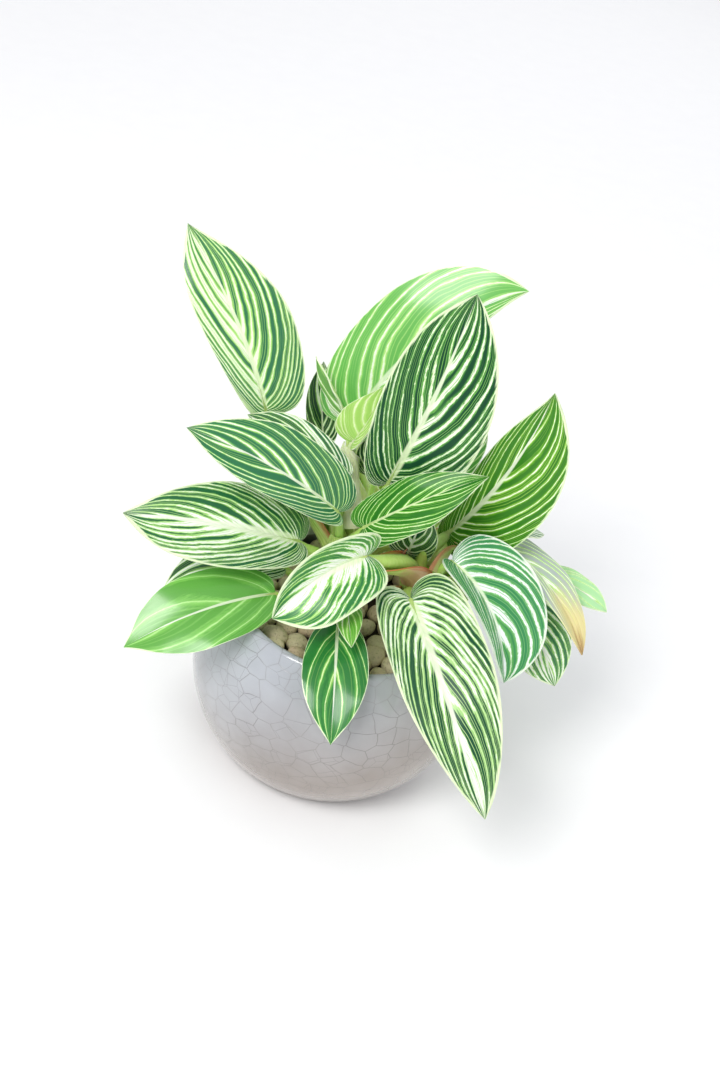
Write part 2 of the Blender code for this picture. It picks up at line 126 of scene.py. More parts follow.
class Finish:
    """A material. Its constants are set on the shader, and its nodes are made by node."""

    def __init__(self, name, constants):
        self.material = bpy.data.materials.new(name)
        self.material.use_nodes = True
        self.tree = self.material.node_tree
        self.shader = self.tree.nodes["Principled BSDF"]
        for socket, value in constants.items():
            self.shader.inputs[socket].default_value = value

    def feed(self, socket, value):
        if isinstance(value, Wire):
            self.tree.links.new(value.socket, socket)
        else:
            socket.default_value = value

    def node(self, kind, settings, values, output=0):
        made = self.tree.nodes.new(kind)
        for name, value in settings.items():
            setattr(made, name, value)
        for key, value in values.items():
            self.feed(made.inputs[key], value)
        return Wire(self, made.outputs[output])

    def sum(self, operation, *values):
        return self.node("ShaderNodeMath", {"operation": operation}, dict(enumerate(values)))

    def blend(self, share, first, second):
        """A colour between two colours."""
        return self.node("ShaderNodeMix", {"data_type": "RGBA"}, {0: share, 6: first, 7: second}, 2)

    def step(self, value, low, high):
        """0 where the value is under low, 1 where it is over high, and smooth between."""
        settings = {"interpolation_type": "SMOOTHSTEP"}
        return self.node("ShaderNodeMapRange", settings, {0: value, 1: low, 2: high})

    def spot(self, x, y, z):
        return self.node("ShaderNodeCombineXYZ", {}, {0: x, 1: y, 2: z})

    def parts(self, spot):
        """The three numbers of a place or of a colour."""
        first = self.node("ShaderNodeSeparateXYZ", {}, {0: spot})
        return first, first.other("Y"), first.other("Z")

    def noise(self, place, scale, detail=2.0, roughness=0.5):
        values = {"Vector": place, "Scale": scale, "Detail": detail, "Roughness": roughness}
        return self.node("ShaderNodeTexNoise", {}, values)

    def streaks(self, place, scales, detail):
        """Noise that is drawn out along the axis of the smallest scale."""
        stretched = self.node("ShaderNodeMapping", {}, {0: place, 3: scales})
        return self.noise(stretched, 1.0, detail)

    def surface(self):
        return self.node("ShaderNodeTexCoord", {}, {}, "Object")

    def veins(self):
        """The shares of the way along and across a blade, or along and round a sheath."""
        along, across, _ = self.parts(self.node("ShaderNodeUVMap", {"uv_map": "Veins"}, {}))
        return along, across

    def paint(self, colour, roughness, height=None, depth=0.0):
        """Links colour and roughness, and a height in 0 to 1 as a relief of that depth."""
        self.feed(self.shader.inputs["Base Color"], colour)
        self.feed(self.shader.inputs["Roughness"], roughness)
        if height:
            relief = self.node("ShaderNodeBump", {}, {"Height": height, "Distance": depth})
            self.feed(self.shader.inputs["Normal"], relief)
        return self.material


def tint(red, green, blue):
    """A colour given in the 0 to 255 numbers of a screen, as the linear one that a node takes."""
    shares = [value / 255 for value in (red, green, blue)]
    return (*[s / 12.92 if s < 0.04045 else ((s + 0.055) / 1.055) ** 2.4 for s in shares], 1.0)


def finished(piece, node, material=None):
    """Puts the piece's place into its mesh, and lets it stand for a node of the solid model."""
    bpy.ops.object.select_all(action="DESELECT")
    piece.select_set(True)
    bpy.context.view_layer.objects.active = piece
    bpy.ops.object.transform_apply(location=True, rotation=True, scale=True)
    if material:
        piece.data.materials.append(material)
    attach(piece, "root")
    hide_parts(node)


# The floor under the bowl: a plain pale board, far wider than the view. It only stages the
# plant and isn't a piece of it.
FLOOR_RADIUS = 7

bpy.ops.object.select_all(action="DESELECT")
bpy.ops.mesh.primitive_circle_add(
    vertices=96, radius=FLOOR_RADIUS, fill_type="NGON", location=(0, 0, 0)
)
floor = bpy.context.object
floor.name = "floor"
floor_paint = Finish("Pale board", {"Specular IOR Level": 0.2})
grain = floor_paint.noise(floor_paint.surface(), 60.0, 3.0)
board = floor_paint.blend(grain, tint(250, 250, 252), tint(254, 254, 255))
floor.data.materials.append(floor_paint.paint(board, 0.6))


# The bowl: thrown stoneware, close to a ball, with a small rolled lip and a flat foot, under a
# pale grey glaze. The glaze has crazed in cooling into a net of fine cracks.
BOWL_RADIUS = 49.5
BOWL_MIDDLE = 36.0
BOWL_WALL = 4.0
BOWL_FLOOR = 5.0
BOWL_SIDES = 160
FOOT_RADIUS = 32.5
FOOT_ROUNDING = ((-0.9, 0.0), (-0.2, 0.15), (0.6, 0.6))
OUTSIDE_LOW = 1.4
OUTSIDE_RINGS = 46
INSIDE_RINGS = 26
LIP_HEIGHT = 63.2
LIP_RADIUS = 1.8
LIP_MIDDLE_RADIUS = 39.6
OUTSIDE_BELOW_LIP = 0.6
INSIDE_BELOW_LIP = 1.4
CRAZE_STRETCH = 1.35
CRAZE_DRIFT = 0.16
CELL_SCALE = 7.6
CRACK_WIDTH = 0.016
BRANCH_SCALE = 9.5
BRANCH_WIDTH = 0.018
UNBRANCHED_SHARE = 0.56


def ball_rings(radius, low, high, count):
    """Rings (radius, height) up a ball round the bowl's middle."""
    first = math.asin((low - BOWL_MIDDLE) / radius)
    last = math.asin((high - BOWL_MIDDLE) / radius)
    turns = [first + (last - first) * i / (count - 1) for i in range(count)]
    return [(radius * math.cos(a), BOWL_MIDDLE + radius * math.sin(a)) for a in turns]


def thrown(name, rings, sides):
    """A closed round shell, pulled up ring by ring from its flat base."""
    bpy.ops.object.select_all(action="DESELECT")
    radius, height = rings[0]
    bpy.ops.mesh.primitive_circle_add(
        vertices=sides, radius=radius * MM, fill_type="NGON", location=(0, 0, height * MM)
    )
    piece = bpy.context.object
    piece.name = name
    bpy.ops.object.mode_set(mode="EDIT")
    for next_radius, next_height in rings[1:]:
        bpy.ops.mesh.extrude_region_move(
            TRANSFORM_OT_translate={"value": (0, 0, (next_height - height) * MM)}
        )
        grow = next_radius / radius
        bpy.ops.transform.resize(value=(grow, grow, 1), center_override=(0, 0, next_height * MM))
        radius, height = next_radius, next_height
    bpy.ops.mesh.select_all(action="SELECT")
    bpy.ops.mesh.normals_make_consistent(inside=False)
    bpy.ops.object.mode_set(mode="OBJECT")
    bpy.ops.object.shade_smooth_by_angle(angle=math.radians(40))
    return piece


foot = [(FOOT_RADIUS + out, height) for out, height in FOOT_ROUNDING]
outside = ball_rings(BOWL_RADIUS, OUTSIDE_LOW, LIP_HEIGHT - OUTSIDE_BELOW_LIP, OUTSIDE_RINGS)
lip = [
    (LIP_MIDDLE_RADIUS + LIP_RADIUS * math.cos(a), LIP_HEIGHT + LIP_RADIUS * math.sin(a))
    for a in [math.radians(turn) for turn in range(15, 181, 15)]
]
inner_radius = BOWL_RADIUS - BOWL_WALL
inside = ball_rings(inner_radius, BOWL_FLOOR, LIP_HEIGHT - INSIDE_BELOW_LIP, INSIDE_RINGS)[::-1]
bowl = thrown("bowl", [*foot, *outside, *lip, *inside], BOWL_SIDES)

# The cracks run between cells that are laid out on the bowl's turn and climb, and some cells
# are split by a fainter branch. The glaze is darker and warmer low down and on the right, partly
# its own tone and partly painted shade from the leaves and a painted warm reflection. It is paler
# and bluish above, partly as a painted reflection of the light.
glaze = Finish("Crackle glaze", {"Coat Weight": 0.6, "Coat Roughness": 0.06, "IOR": 1.5})
place = glaze.surface()
across, depth, height = glaze.parts(place)
turn = glaze.sum("ARCTAN2", across, 0 - depth)
reach = glaze.sum("SQRT", across * across + depth * depth)
climb = glaze.sum("ARCTAN2", height - BOWL_MIDDLE * MM, reach)
around = glaze.spot(turn, climb * CRAZE_STRETCH, 0.0)
drift = glaze.noise(place, 46.0).other("Color")
mixed = {0: CRAZE_DRIFT, 4: around, 5: drift}
bent = glaze.node("ShaderNodeMix", {"data_type": "VECTOR"}, mixed, 1)
cells = {"Vector": bent, "Scale": CELL_SCALE, "Randomness": 0.75}
halves = {"Vector": bent, "Scale": BRANCH_SCALE, "Randomness": 0.9}
edges = {"feature": "DISTANCE_TO_EDGE", "voronoi_dimensions": "2D"}
wide = glaze.node("ShaderNodeTexVoronoi", edges, cells)
split = glaze.node("ShaderNodeTexVoronoi", edges, halves)
cell = glaze.node("ShaderNodeTexVoronoi", {"voronoi_dimensions": "2D"}, cells, "Color")
strength = glaze.step(glaze.noise(place, 55.0), 0.3, 0.6) * 0.7 + 0.3
main_line = (1 - glaze.step(wide, 0.0, CRACK_WIDTH)) * strength
branch = (1 - glaze.step(split, 0.0, BRANCH_WIDTH)) * (cell > UNBRANCHED_SHARE)
crack = glaze.sum("MAXIMUM", main_line, branch * 0.6)
# Painted shade and reflection: the glaze goes from dark and warm low down and to the right up to
# pale and bluish above and to the left.
shade = height * 0.9 - across * 0.34
cloud = glaze.step(glaze.noise(place, 24.0, 4.0, 0.6), 0.3, 0.7)
cool_tone_and_painted_reflection = glaze.blend(cloud, tint(167, 171, 178), tint(181, 185, 192))
warm_tone_and_painted_shade = glaze.blend(cloud, tint(138, 126, 116), tint(152, 141, 132))
body = glaze.blend(glaze.step(shade + cloud * 0.006, 0.012, 0.068), warm_tone_and_painted_shade, cool_tone_and_painted_reflection)
body = glaze.blend((1 - glaze.step(wide, 0.0, 0.1)) * 0.1, body, tint(148, 140, 134))
dark = {"data_type": "RGBA", "blend_type": "MULTIPLY"}
body = glaze.node("ShaderNodeMix", dark, {0: crack, 6: body, 7: tint(180, 180, 176)}, 2)
finished(bowl, "pot", glaze.paint(body, 0.16 + 0.2 * crack, 1 - crack, 0.00006))


# The soil: dark potting mix that fills the bowl up to the pebbles. Its solid stays, with a
# coarse dark finish.
earth = Finish("Potting mix", {"Specular IOR Level": 0.2})
crumbs = earth.noise(earth.surface(), 420.0, 5.0, 0.65)
dark_earth = earth.blend(crumbs, tint(38, 28, 20), tint(92, 72, 54))
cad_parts["soil"].data.materials.clear()
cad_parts["soil"].data.materials.append(earth.paint(dark_earth, 0.95, crumbs, 0.0008))


# The pebbles: rounded river stones in olive and tan, 6 to 9 mm long, spread over the soil by
# hand. They lie on a thin bed of grit that fills the bowl's mouth.
BED_LOW = 52.3
BED_TOP = 55.2
PEBBLES = 84
PEBBLE_REACH = 36.0
PEBBLE_HEIGHT = 56.9
PEBBLE_HALF_SIZE = (4.1, 3.5, 3.0)
PEBBLE_GROWTH = (0.82, 1.15)
PEBBLE_SHAPES = 4
PEBBLE_SWELL = 1.08
PEBBLE_SHIFT = 0.8
PEBBLE_LIFT = (-0.8, 0.7)
PEBBLE_TILT = 0.4
STEM_ROOM = 4.5
GOLDEN_ANGLE = math.radians(137.508)
STEM_PLACES = {"stem_left": (-6, 6, 93), "stem_right": (20, 4, 91), "stem_back": (2, 22, 92)}

bed_edge = ball_rings(BOWL_RADIUS - BOWL_WALL - 0.5, BED_LOW, BED_TOP, 4)
bed = thrown("pebble_layer", bed_edge, 96)
bpy.ops.object.transform_apply(location=True, rotation=True, scale=True)
shapes = []
for variant in range(PEBBLE_SHAPES):
    bpy.ops.object.select_all(action="DESELECT")
    bpy.ops.mesh.primitive_ico_sphere_add(subdivisions=3, radius=1, location=(0, 0, 0))
    stone = bpy.context.object
    bpy.ops.object.mode_set(mode="EDIT")
    bpy.ops.transform.vertex_random(offset=0.55, uniform=0.0, normal=0.7, seed=variant + 3)
    bpy.ops.mesh.vertices_smooth(factor=0.6, repeat=7)
    bpy.ops.object.mode_set(mode="OBJECT")
    bpy.ops.object.shade_smooth()
    longest = max(vertex.co.length for vertex in stone.data.vertices)
    stone.scale = Vector((1, 1, 1)) / longest * PEBBLE_SWELL
    bpy.ops.object.transform_apply(location=True, rotation=True, scale=True)
    shapes.append(stone.data)
    bpy.data.objects.remove(stone)
draw = random.Random(11)
stones = []
for index in range(PEBBLES):
    reach = PEBBLE_REACH * math.sqrt((index + 0.5) / PEBBLES)
    angle = index * GOLDEN_ANGLE
    x = reach * math.cos(angle) + draw.uniform(-PEBBLE_SHIFT, PEBBLE_SHIFT)
    y = reach * math.sin(angle) + draw.uniform(-PEBBLE_SHIFT, PEBBLE_SHIFT)
    z = PEBBLE_HEIGHT + draw.uniform(*PEBBLE_LIFT)
    if min(math.hypot(x - stem[0], y - stem[1]) for stem in STEM_PLACES.values()) < STEM_ROOM:
        continue
    mesh = draw.choice(shapes).copy()
    turn = Matrix.Rotation(draw.uniform(0, math.tau), 3, "Z")
    tilt = Matrix.Rotation(draw.uniform(-PEBBLE_TILT, PEBBLE_TILT), 3, "X")
    half_size = Vector([half * draw.uniform(*PEBBLE_GROWTH) * MM for half in PEBBLE_HALF_SIZE])
    mesh.transform(Matrix.LocRotScale(Vector((x, y, z)) * MM, turn @ tilt, half_size))
    tone = mesh.attributes.new("stone", "FLOAT", "FACE")
    tone.data.foreach_set("value", [0.15 + 0.85 * draw.random()] * len(mesh.polygons))
    stone = bpy.data.objects.new("stone", mesh)
    bpy.context.scene.collection.objects.link(stone)
    stones.append(stone)
bpy.ops.object.select_all(action="DESELECT")
for stone in stones:
    stone.select_set(True)
bed.select_set(True)
bpy.context.view_layer.objects.active = bed
bpy.ops.object.join()

river = Finish("River pebbles", {"Specular IOR Level": 0.35})
own = river.node("ShaderNodeAttribute", {"attribute_name": "stone"}, {}, "Fac")
place = river.surface()
cloud = river.noise(place, 260.0, 4.0, 0.6)
specks = river.step(river.noise(place, 1500.0, 2.0, 0.6), 0.56, 0.68)
stone_colour = river.blend(own, tint(168, 162, 124), tint(216, 206, 168))
stone_colour = river.blend(river.step(cloud, 0.35, 0.7) * 0.6, stone_colour, tint(216, 202, 172))
stone_colour = river.blend(river.step(own, 0.72, 0.95) * 0.5, stone_colour, tint(170, 140, 112))
stone_colour = river.blend(specks * 0.4, stone_colour, tint(96, 88, 66))
stone_colour = river.blend(own > 0.05, tint(48, 38, 28), stone_colour)
finished(bed, "pebbles", river.paint(stone_colour, 0.62, cloud + specks * 0.4, 0.0002))


# The stems: three short shoots that stand in the soil, ringed with the scars of old leaves and
# tapering to the growing tip. The rings are those of a stem with its top at STEM_RINGS_TOP, and
# the ones over its shoulder move with the stem's own top.
STEM_RINGS = (
    (4.0, 30.0), (4.0, 63.0), (3.9, 70.0), (3.3, 76.0), (2.65, 80.0), (2.0, 85.0), (1.25, 89.0),
)
STEM_RINGS_TOP = 92
STEM_SHOULDER = 64
STEM_TIP_RADIUS = 0.35
STEM_SIDES = 28
SCAR_FREQUENCY = 1100.0

bark = Finish("Stem skin", {"Specular IOR Level": 0.4})
place = bark.surface()
_, _, height = bark.parts(place)
streak = bark.streaks(place, (900.0, 900.0, 90.0), 3.0)
band = bark.sum("SINE", height * SCAR_FREQUENCY + streak * 1.5)
skin = bark.blend(streak, tint(134, 178, 62), tint(186, 214, 104))
old = 1 - bark.step(height, 0.070, 0.086) * 0.85
patch = bark.step(bark.noise(place, 150.0, 2.0), 0.5, 0.62) * old
skin = bark.blend(patch * 0.7, skin, tint(226, 176, 132))
skin = bark.blend(bark.step(band, 0.8, 1.0) * old * 0.7, skin, tint(178, 92, 62))
stem_skin = bark.paint(skin, 0.45, band * 0.3 + streak, 0.0003)
for name, (x, y, top) in STEM_PLACES.items():
    rings = [
        (radius, level if level < STEM_SHOULDER else level + top - STEM_RINGS_TOP)
        for radius, level in STEM_RINGS
    ]
    stem = thrown(name + "_shoot", [*rings, (STEM_TIP_RADIUS, top - 0.1)], STEM_SIDES)
    stem.location.x = x * MM
    stem.location.y = y * MM
    finished(stem, name, stem_skin)


# The leaves: thin, firm and glossy, each on its own stalk from a shoot. A blade is heart-shaped
# to lance-shaped, with a wide pale midrib. Side veins leave it at a low angle and bend towards
# the tip. Cream lines follow them, from hairlines to whole pale sectors.
BLADE_THICKNESS = 0.5
BLADE_RIPPLE = 0.4
RIPPLE_TURNS = 2.3
VEIN_START_POWER = 1.9
VEIN_BEND = (0.32, 0.56)
BLADE_ROWS = 64
BLADE_COLUMNS = 32
BLADE_WELD = 0.000006
VEIN_SWEEP = 0.42
STALK_POINTS = 22
STALK_BELOW_BLADE = 0.6
RIB_POINTS = 15
RIB_SHARE = 0.85
RIB_RADII = (0.75, 0.3)
RIB_BELOW_BLADE = 0.42
SHEATH_ROWS = 24
SHEATH_COLUMNS = 20
SHEATH_THICKNESS = 0.35
SHEATH_TAPER = 0.7
SHEATH_FLARE = 0.22
SHEATH_WAVE = 0.05
SHEATH_NARROWING = 0.55
UPRIGHT_SIDE = 0.001
LEAF_GLOW = (0.5, 1.0, 0.25)

CREAM = tint(244, 250, 236)
LIME = tint(170, 220, 112)
PALE_LIME = tint(222, 242, 186)
PALE_EDGE = tint(232, 246, 204)
LEAF_UNDER = tint(150, 190, 130)


def bezier(points, t):
    """A point, or an array of them, on the Bezier curve through its control points."""
    t = np.asarray(t, float)[..., None]
    points = [np.asarray(point, float) for point in points]
    while len(points) > 1:
        points = [(1 - t) * a + t * b for a, b in zip(points, points[1:])]
    return points[0]


def unit(vector):
    vector = np.asarray(vector, float)
    return vector / np.linalg.norm(vector, axis=-1, keepdims=True)


@dataclass
class Half:
    """One side of a blade: its width, where it is widest, how round it starts, how blunt it
    ends, and how it bends up, in degrees."""

    width: float
    widest: float = 0.38
    shoulder: float = 0.4
    full: float = 0.42
    fold: float = 12.0
    curl: float = -18.0


@dataclass
class Look:
    """A blade's colours and its pattern. It has this many cream lines a side. A line is a share
    of the space between two of them wide, and wider where left or right is set. vary changes
    that width from sector to sector, wander along a line, at a pace of breaks, and fan next to
    the midrib. rib and rim are the pale shares at the midrib and the edge, and tip widens the
    rim at the tip. ragged frays the lines, fringe is the reach of the lime beside them, and
    hairlines the strength of the fine lines between them."""

    green: tuple
    deep: tuple
    lines: float = 11.0
    line: float = 0.08
    left: float = 0.0
    right: float = 0.0
    vary: float = 0.12
    wander: float = 0.3
    breaks: float = 2.2
    fan: float = 0.12
    fan_reach: float = 0.3
    rib: float = 0.07
    rim: float = 0.03
    ragged: float = 0.12
    fringe: float = 0.12
    cream: tuple = CREAM
    thin: tuple = PALE_LIME
    halo: tuple = LIME
    edge: tuple = PALE_EDGE
    hairlines: float = 0.5
    tip: float = 0.1
    gloss: float = 0.42
    age: float = 0.0


@dataclass
class Leaf:
    """A leaf by the two ends of its midrib, the way the midrib bows and the way it faces.
    Its stalk leaves the stem at the height root, at an angle lean above the level, and stalk
    holds its radii from the stem to the blade. A sheath clasps the stalk's foot."""

    name: str
    stem: str
    root: float
    base: tuple
    tip: tuple
    bow: tuple
    facing: tuple
    left: Half
    right: Half
    look: Look
    lobe: float = 0.05
    tip_facing: tuple = None
    lean: float = 60.0
    stalk: tuple = (1.9, 1.2)
    skin: tuple = tint(162, 208, 84)
    sheath_reach: float = 0.6
    sheath_radii: tuple = (5.4, 2.3)
    sheath_spread: float = 120.0
    sheath_turn: float = 0.0
    sheath_edge: tuple = tint(192, 208, 116)
    sheath_tan: float = 0.15


def half_outline(half, lobe):
    """The edge of one side from base to tip, in shares of the length and of the width."""
    rise = min(0.95, half.shoulder + 0.42)
    base = [(0, 0), (-0.5 * lobe, 0.02), (-lobe, 0.4 * half.shoulder), (-lobe, half.shoulder)]
    side = [(-lobe, half.shoulder), (-lobe, rise), (half.widest - 0.24, 1), (half.widest, 1)]
    end = [(half.widest, 1), (half.widest + 0.26, 1), (0.88, half.full), (1, 0)]
    parts = [bezier(base, np.linspace(0, 1, 16))[:-1], bezier(side, np.linspace(0, 1, 24))[:-1]]
    return np.concatenate([*parts, bezier(end, np.linspace(0, 1, 32))])


class Blade:
    """The curved surface of a leaf. A vein runs from the midrib to the edge at each share s
    of the edge's length, and t goes from -1 at the left edge over the midrib to 1."""

    def __init__(self, leaf, index):
        self.leaf = leaf
        self.index = index
        base, tip = np.array(leaf.base, float), np.array(leaf.tip, float)
        control = (base + tip) / 2 + np.array(leaf.bow, float)
        share = np.linspace(0, 1, 81)
        self.points = bezier([base, control, tip], share)
        steps = np.linalg.norm(np.diff(self.points, axis=0), axis=1)
        self.along = np.concatenate([[0], np.cumsum(steps)])
        self.length = self.along[-1]
        self.tangents = unit(bezier([control - base, tip - control], share))
        end_facing = leaf.tip_facing or leaf.facing
        facing = bezier([unit(leaf.facing), unit(end_facing)], share)
        across = (facing * self.tangents).sum(1, keepdims=True)
        self.normals = unit(facing - across * self.tangents)

    def frame(self, distance):
        """Midrib point, direction, side and normal at a distance from the base."""
        inside = np.clip(distance, 0, self.length)
        found = []
        for values in (self.points, self.tangents, self.normals):
            columns = [np.interp(inside, self.along, values[:, k]) for k in range(3)]
            found.append(np.stack(columns, -1))
        point, tangent, normal = found[0], unit(found[1]), unit(found[2])
        point = point + tangent * (distance - inside)[..., None]
        return point, tangent, np.cross(tangent, normal), normal

    def flat(self, half, s, t):
        """Distance along and away from the midrib of a place on one side's vein."""
        edge = half_outline(half, self.leaf.lobe) * (self.length, half.width)
        steps = np.linalg.norm(np.diff(edge, axis=0), axis=1)
        share = np.concatenate([[0], np.cumsum(steps)]) / steps.sum()
        out = np.stack([np.interp(s, share, edge[:, k]) for k in range(2)], -1)
        start = np.stack([self.length * s**VEIN_START_POWER, np.zeros_like(s)], -1)
        bend = start + (out - start) * VEIN_BEND
        t = t[..., None]
        return (1 - t) ** 2 * start + 2 * (1 - t) * t * bend + t**2 * out

    def side_points(self, half, sign, s, t):
        place = self.flat(half, s, t)
        distance, away = place[..., 0], place[..., 1]
        share = away / half.width
        fold, curl = math.radians(half.fold), math.radians(half.curl)
        out = (np.sin(fold + curl * share) - math.sin(fold)) / curl * half.width
        up = (math.cos(fold) - np.cos(fold + curl * share)) / curl * half.width
        turns = RIPPLE_TURNS * distance / self.length + 0.37 * self.index + 0.2 * sign
        up = up + BLADE_RIPPLE * np.sin(2 * math.pi * turns) * share**2
        point, _, side, normal = self.frame(distance)
        return point + side * (sign * out)[..., None] + normal * up[..., None]

    def surface(self, s, t):
        left = self.side_points(self.leaf.left, -1, s, np.abs(t))
        right = self.side_points(self.leaf.right, 1, s, np.abs(t))
        return np.where((t > 0)[..., None], right, left)

    def stalk_path(self):
        """Points and radii from the stem's middle up to the blade and on under its midrib."""
        leaf = self.leaf
        x, y, _ = STEM_PLACES[leaf.stem]
        root = np.array([x, y, leaf.root], float)
        point, tangent, _, normal = self.frame(np.array([0.0]))
        end = point[0] - normal[0] * STALK_BELOW_BLADE
        outward = (end - root) * (1, 1, 0)
        lean = math.radians(leaf.lean)
        start = unit(outward) * math.cos(lean) + np.array([0, 0, math.sin(lean)])
        arrive = unit(tangent[0] + np.array([0, 0, 0.8]))
        reach = np.linalg.norm(end - root)
        controls = [root, root + start * 0.4 * reach, end - arrive * 0.3 * reach, end]
        free = bezier(controls, np.linspace(0, 1, STALK_POINTS))
        along = np.linspace(0, RIB_SHARE * self.length, RIB_POINTS + 1)[1:]
        point, _, _, normal = self.frame(along)
        slim = min(1.0, 0.5 + self.length / 80)
        places = np.linspace(0, 1, len(leaf.stalk))
        free_radii = np.interp(np.linspace(0, 1, len(free)), places, leaf.stalk) * slim
        rib = point - normal * RIB_BELOW_BLADE
        rib_radii = np.linspace(*RIB_RADII, len(rib)) * slim
        return np.concatenate([free, rib]), np.concatenate([free_radii, rib_radii])


def blade_finish(name, look, index):
    """Green streaks between the side veins, darkest in their middle, cream along the veins, lime
    where the two meet, and a cream midrib and rim."""
    finish = Finish(
        name,
        {"Coat Roughness": 0.18, "Specular IOR Level": 0.12,
         "Subsurface Weight": 0.08, "Subsurface Scale": 0.002, "Subsurface Radius": LEAF_GLOW},
    )
    s, across = finish.veins()
    across = across * 2.0 - 1.0
    side, t = across > 0.0, abs(across)
    seed = 3.7 * index
    wobble = finish.noise(finish.spot(s * 7.0, t * 2.0, side * 5.0 + seed), 1.0, 2.0)
    sweep = s - t * (t * t * 0.2 + 0.88) * VEIN_SWEEP + (wobble - 0.5) * 0.07
    vein = sweep * (1.15 - sweep * 0.38) * look.lines + side * 31.4 + seed
    to_edge = {"voronoi_dimensions": "1D", "feature": "DISTANCE_TO_EDGE"}
    cell = {"W": vein, "Scale": 1.0, "Randomness": 1.0}
    edge = finish.node("ShaderNodeTexVoronoi", to_edge, cell)
    drawn = finish.node("ShaderNodeTexVoronoi", {"voronoi_dimensions": "1D"}, cell, "Color")
    own, hairy, _ = finish.parts(drawn)
    weave = finish.noise(finish.spot(vein * 5.0, t * 3.2, side * 2.0 + seed), 1.0, 3.0, 0.6)
    span = finish.spot(vein * 0.9, t * look.breaks, side * 9.0 + seed)
    spindle = finish.noise(span, 1.0, 2.0, 0.6)
    sector = finish.noise(finish.spot(sweep * 3.4, t * 0.7, side * 3.0 + seed), 1.0, 1.0)
    fray = finish.noise(finish.spot(vein * 13.0, t * 24.0, side * 4.0 + seed), 1.0, 2.0, 0.7)
    pale_side = side * (look.right - look.left) + look.left
    own_width = (own * own * 1.9 + 0.35) * look.line
    width = own_width + (finish.step(sector, 0.3, 0.7) - 0.5) * look.vary + pale_side
    near_rib = 1 - finish.step(t, 0.0, look.fan_reach)
    width = width + (spindle - 0.5) * look.wander + near_rib * look.fan
    worn = (t * 0.9 + 0.5) * look.ragged
    width = width + (weave - 0.5) * worn + (fray - 0.5) * (worn * 1.7 + 0.04)
    width = finish.sum("MAXIMUM", width, 0.008)
    cream = 1 - finish.step(edge, width * 0.78, width + 0.012)
    halo = 1 - finish.step(edge + (weave - 0.5) * 0.12, width + 0.01, width + look.fringe)
    fine_cell = {"W": vein * 3.3, "Scale": 1.0, "Randomness": 1.0}
    fine = finish.node("ShaderNodeTexVoronoi", to_edge, fine_cell)
    threaded = finish.step(spindle + (weave - 0.5) * 0.5, 0.4, 0.56)
    thread = (1 - finish.step(fine, 0.02, 0.2)) * threaded
    hair = (1 - finish.step(fine, 0.02, 0.16)) * finish.step(hairy + wobble * 0.5, 0.5, 0.8)
    core = finish.step(edge - width + (weave + fray - 1.0) * 0.4, 0.02, 0.26)
    colour = finish.blend(core, look.green, look.deep)
    colour = finish.blend(hair * look.hairlines, colour, look.halo)
    colour = finish.blend(halo * 0.85, colour, look.halo)
    pale = finish.blend(finish.step(width, 0.02, 0.16), look.thin, look.cream)
    thread_colour = finish.blend(weave, look.halo, look.green)
    pale = finish.blend(thread * finish.step(width, 0.1, 0.2) * 0.8, pale, thread_colour)
    colour = finish.blend(cream, colour, pale)
    rib = look.rib * (1.35 - s * 0.75)
    midrib = 1 - finish.step(t, rib * 0.5, rib)
    rib_colour = finish.blend(s, tint(214, 238, 172), look.cream)
    colour = finish.blend(midrib * 0.85, colour, rib_colour)
    outer = t + finish.step(s, 0.8, 1.0) * look.tip + (weave + spindle - 1.0) * look.rim * 1.6
    rim = finish.step(outer, 1 - look.rim, 1 - look.rim * 0.4)
    colour = finish.blend(rim * 0.9, colour, look.edge)
    if look.age:
        dry = finish.noise(finish.spot(s * 4.0, across * 1.5, seed), 1.0, 3.0)
        yellowed = finish.step(s + dry * 0.3, 0.72, 1.0) * look.age
        colour = finish.blend(yellowed, colour, tint(226, 212, 150))
        withered = finish.step(s + dry * 0.2, 0.96, 1.08) * look.age
        colour = finish.blend(withered, colour, tint(186, 150, 100))
    under = finish.node("ShaderNodeAttribute", {"attribute_name": "underside"}, {}, "Fac")
    colour = finish.blend(under * 0.5, colour, LEAF_UNDER)
    skin = finish.noise(finish.surface(), 1800.0, 2.0)
    relief = finish.step(edge, 0.0, 0.3) * 0.6 + weave * 0.25 + skin * 0.22 - midrib * 0.5
    finish.feed(finish.shader.inputs["Coat Weight"], (weave * 0.8 + 0.6) * look.gloss)
    return finish.paint(colour, 0.34 + 0.12 * weave + under * 0.2, relief, 0.00022)


def stalk_finish(name, colour):
    """Streaked lengthways with a lighter green, with a pink blush low down."""
    finish = Finish(
        name,
        {"Coat Weight": 0.15, "Subsurface Weight": 0.3, "Subsurface Scale": 0.005,
         "Subsurface Radius": LEAF_GLOW},
    )
    place = finish.surface()
    _, _, height = finish.parts(place)
    streak = finish.streaks(place, (1100.0, 1100.0, 120.0), 2.0)
    paint = finish.blend(streak * 0.6, colour, tint(218, 240, 160))
    blush = (1 - finish.step(height, 0.064, 0.080)) * finish.step(streak, 0.35, 0.6)
    paint = finish.blend(blush * 0.45, paint, tint(204, 126, 92))
    return finish.paint(paint, 0.36, streak, 0.00015)


